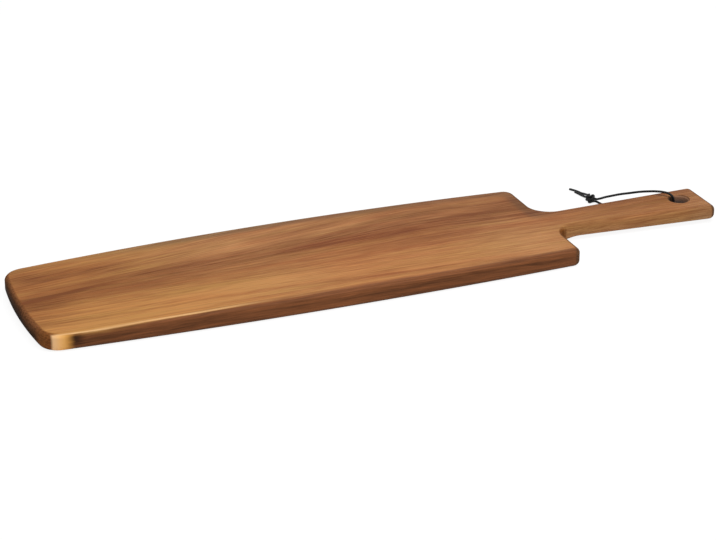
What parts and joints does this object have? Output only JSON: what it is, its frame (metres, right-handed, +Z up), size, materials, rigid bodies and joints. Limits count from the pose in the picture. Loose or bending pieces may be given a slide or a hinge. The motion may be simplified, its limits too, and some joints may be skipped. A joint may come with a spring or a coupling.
{
  "type": "serving board",
  "caption": "Long wooden paddle board for serving food, with bowed edges, a flared handle, a hang hole and a knotted leather hanging cord.",
  "frame": {"origin": "on the table, under the middle of the plank's outline seen from above", "axes": "+X along the plank from its near end towards the handle, +Y towards the back edge, +Z up out of the serving face"},
  "size_m": [0.6, 0.1528, 0.0192],
  "materials": {
    "acacia": "oiled satin, with straight brown grain, a dark skin along the front edge and dark end grain",
    "leather": "black round lacing, satin"
  },
  "bodies": {
    "root": {"board": "acacia", "cord_loop": "leather", "cord_knot": "leather", "cord_long_tail": "leather", "cord_short_tail": "leather"}
  },
  "joints": []
}
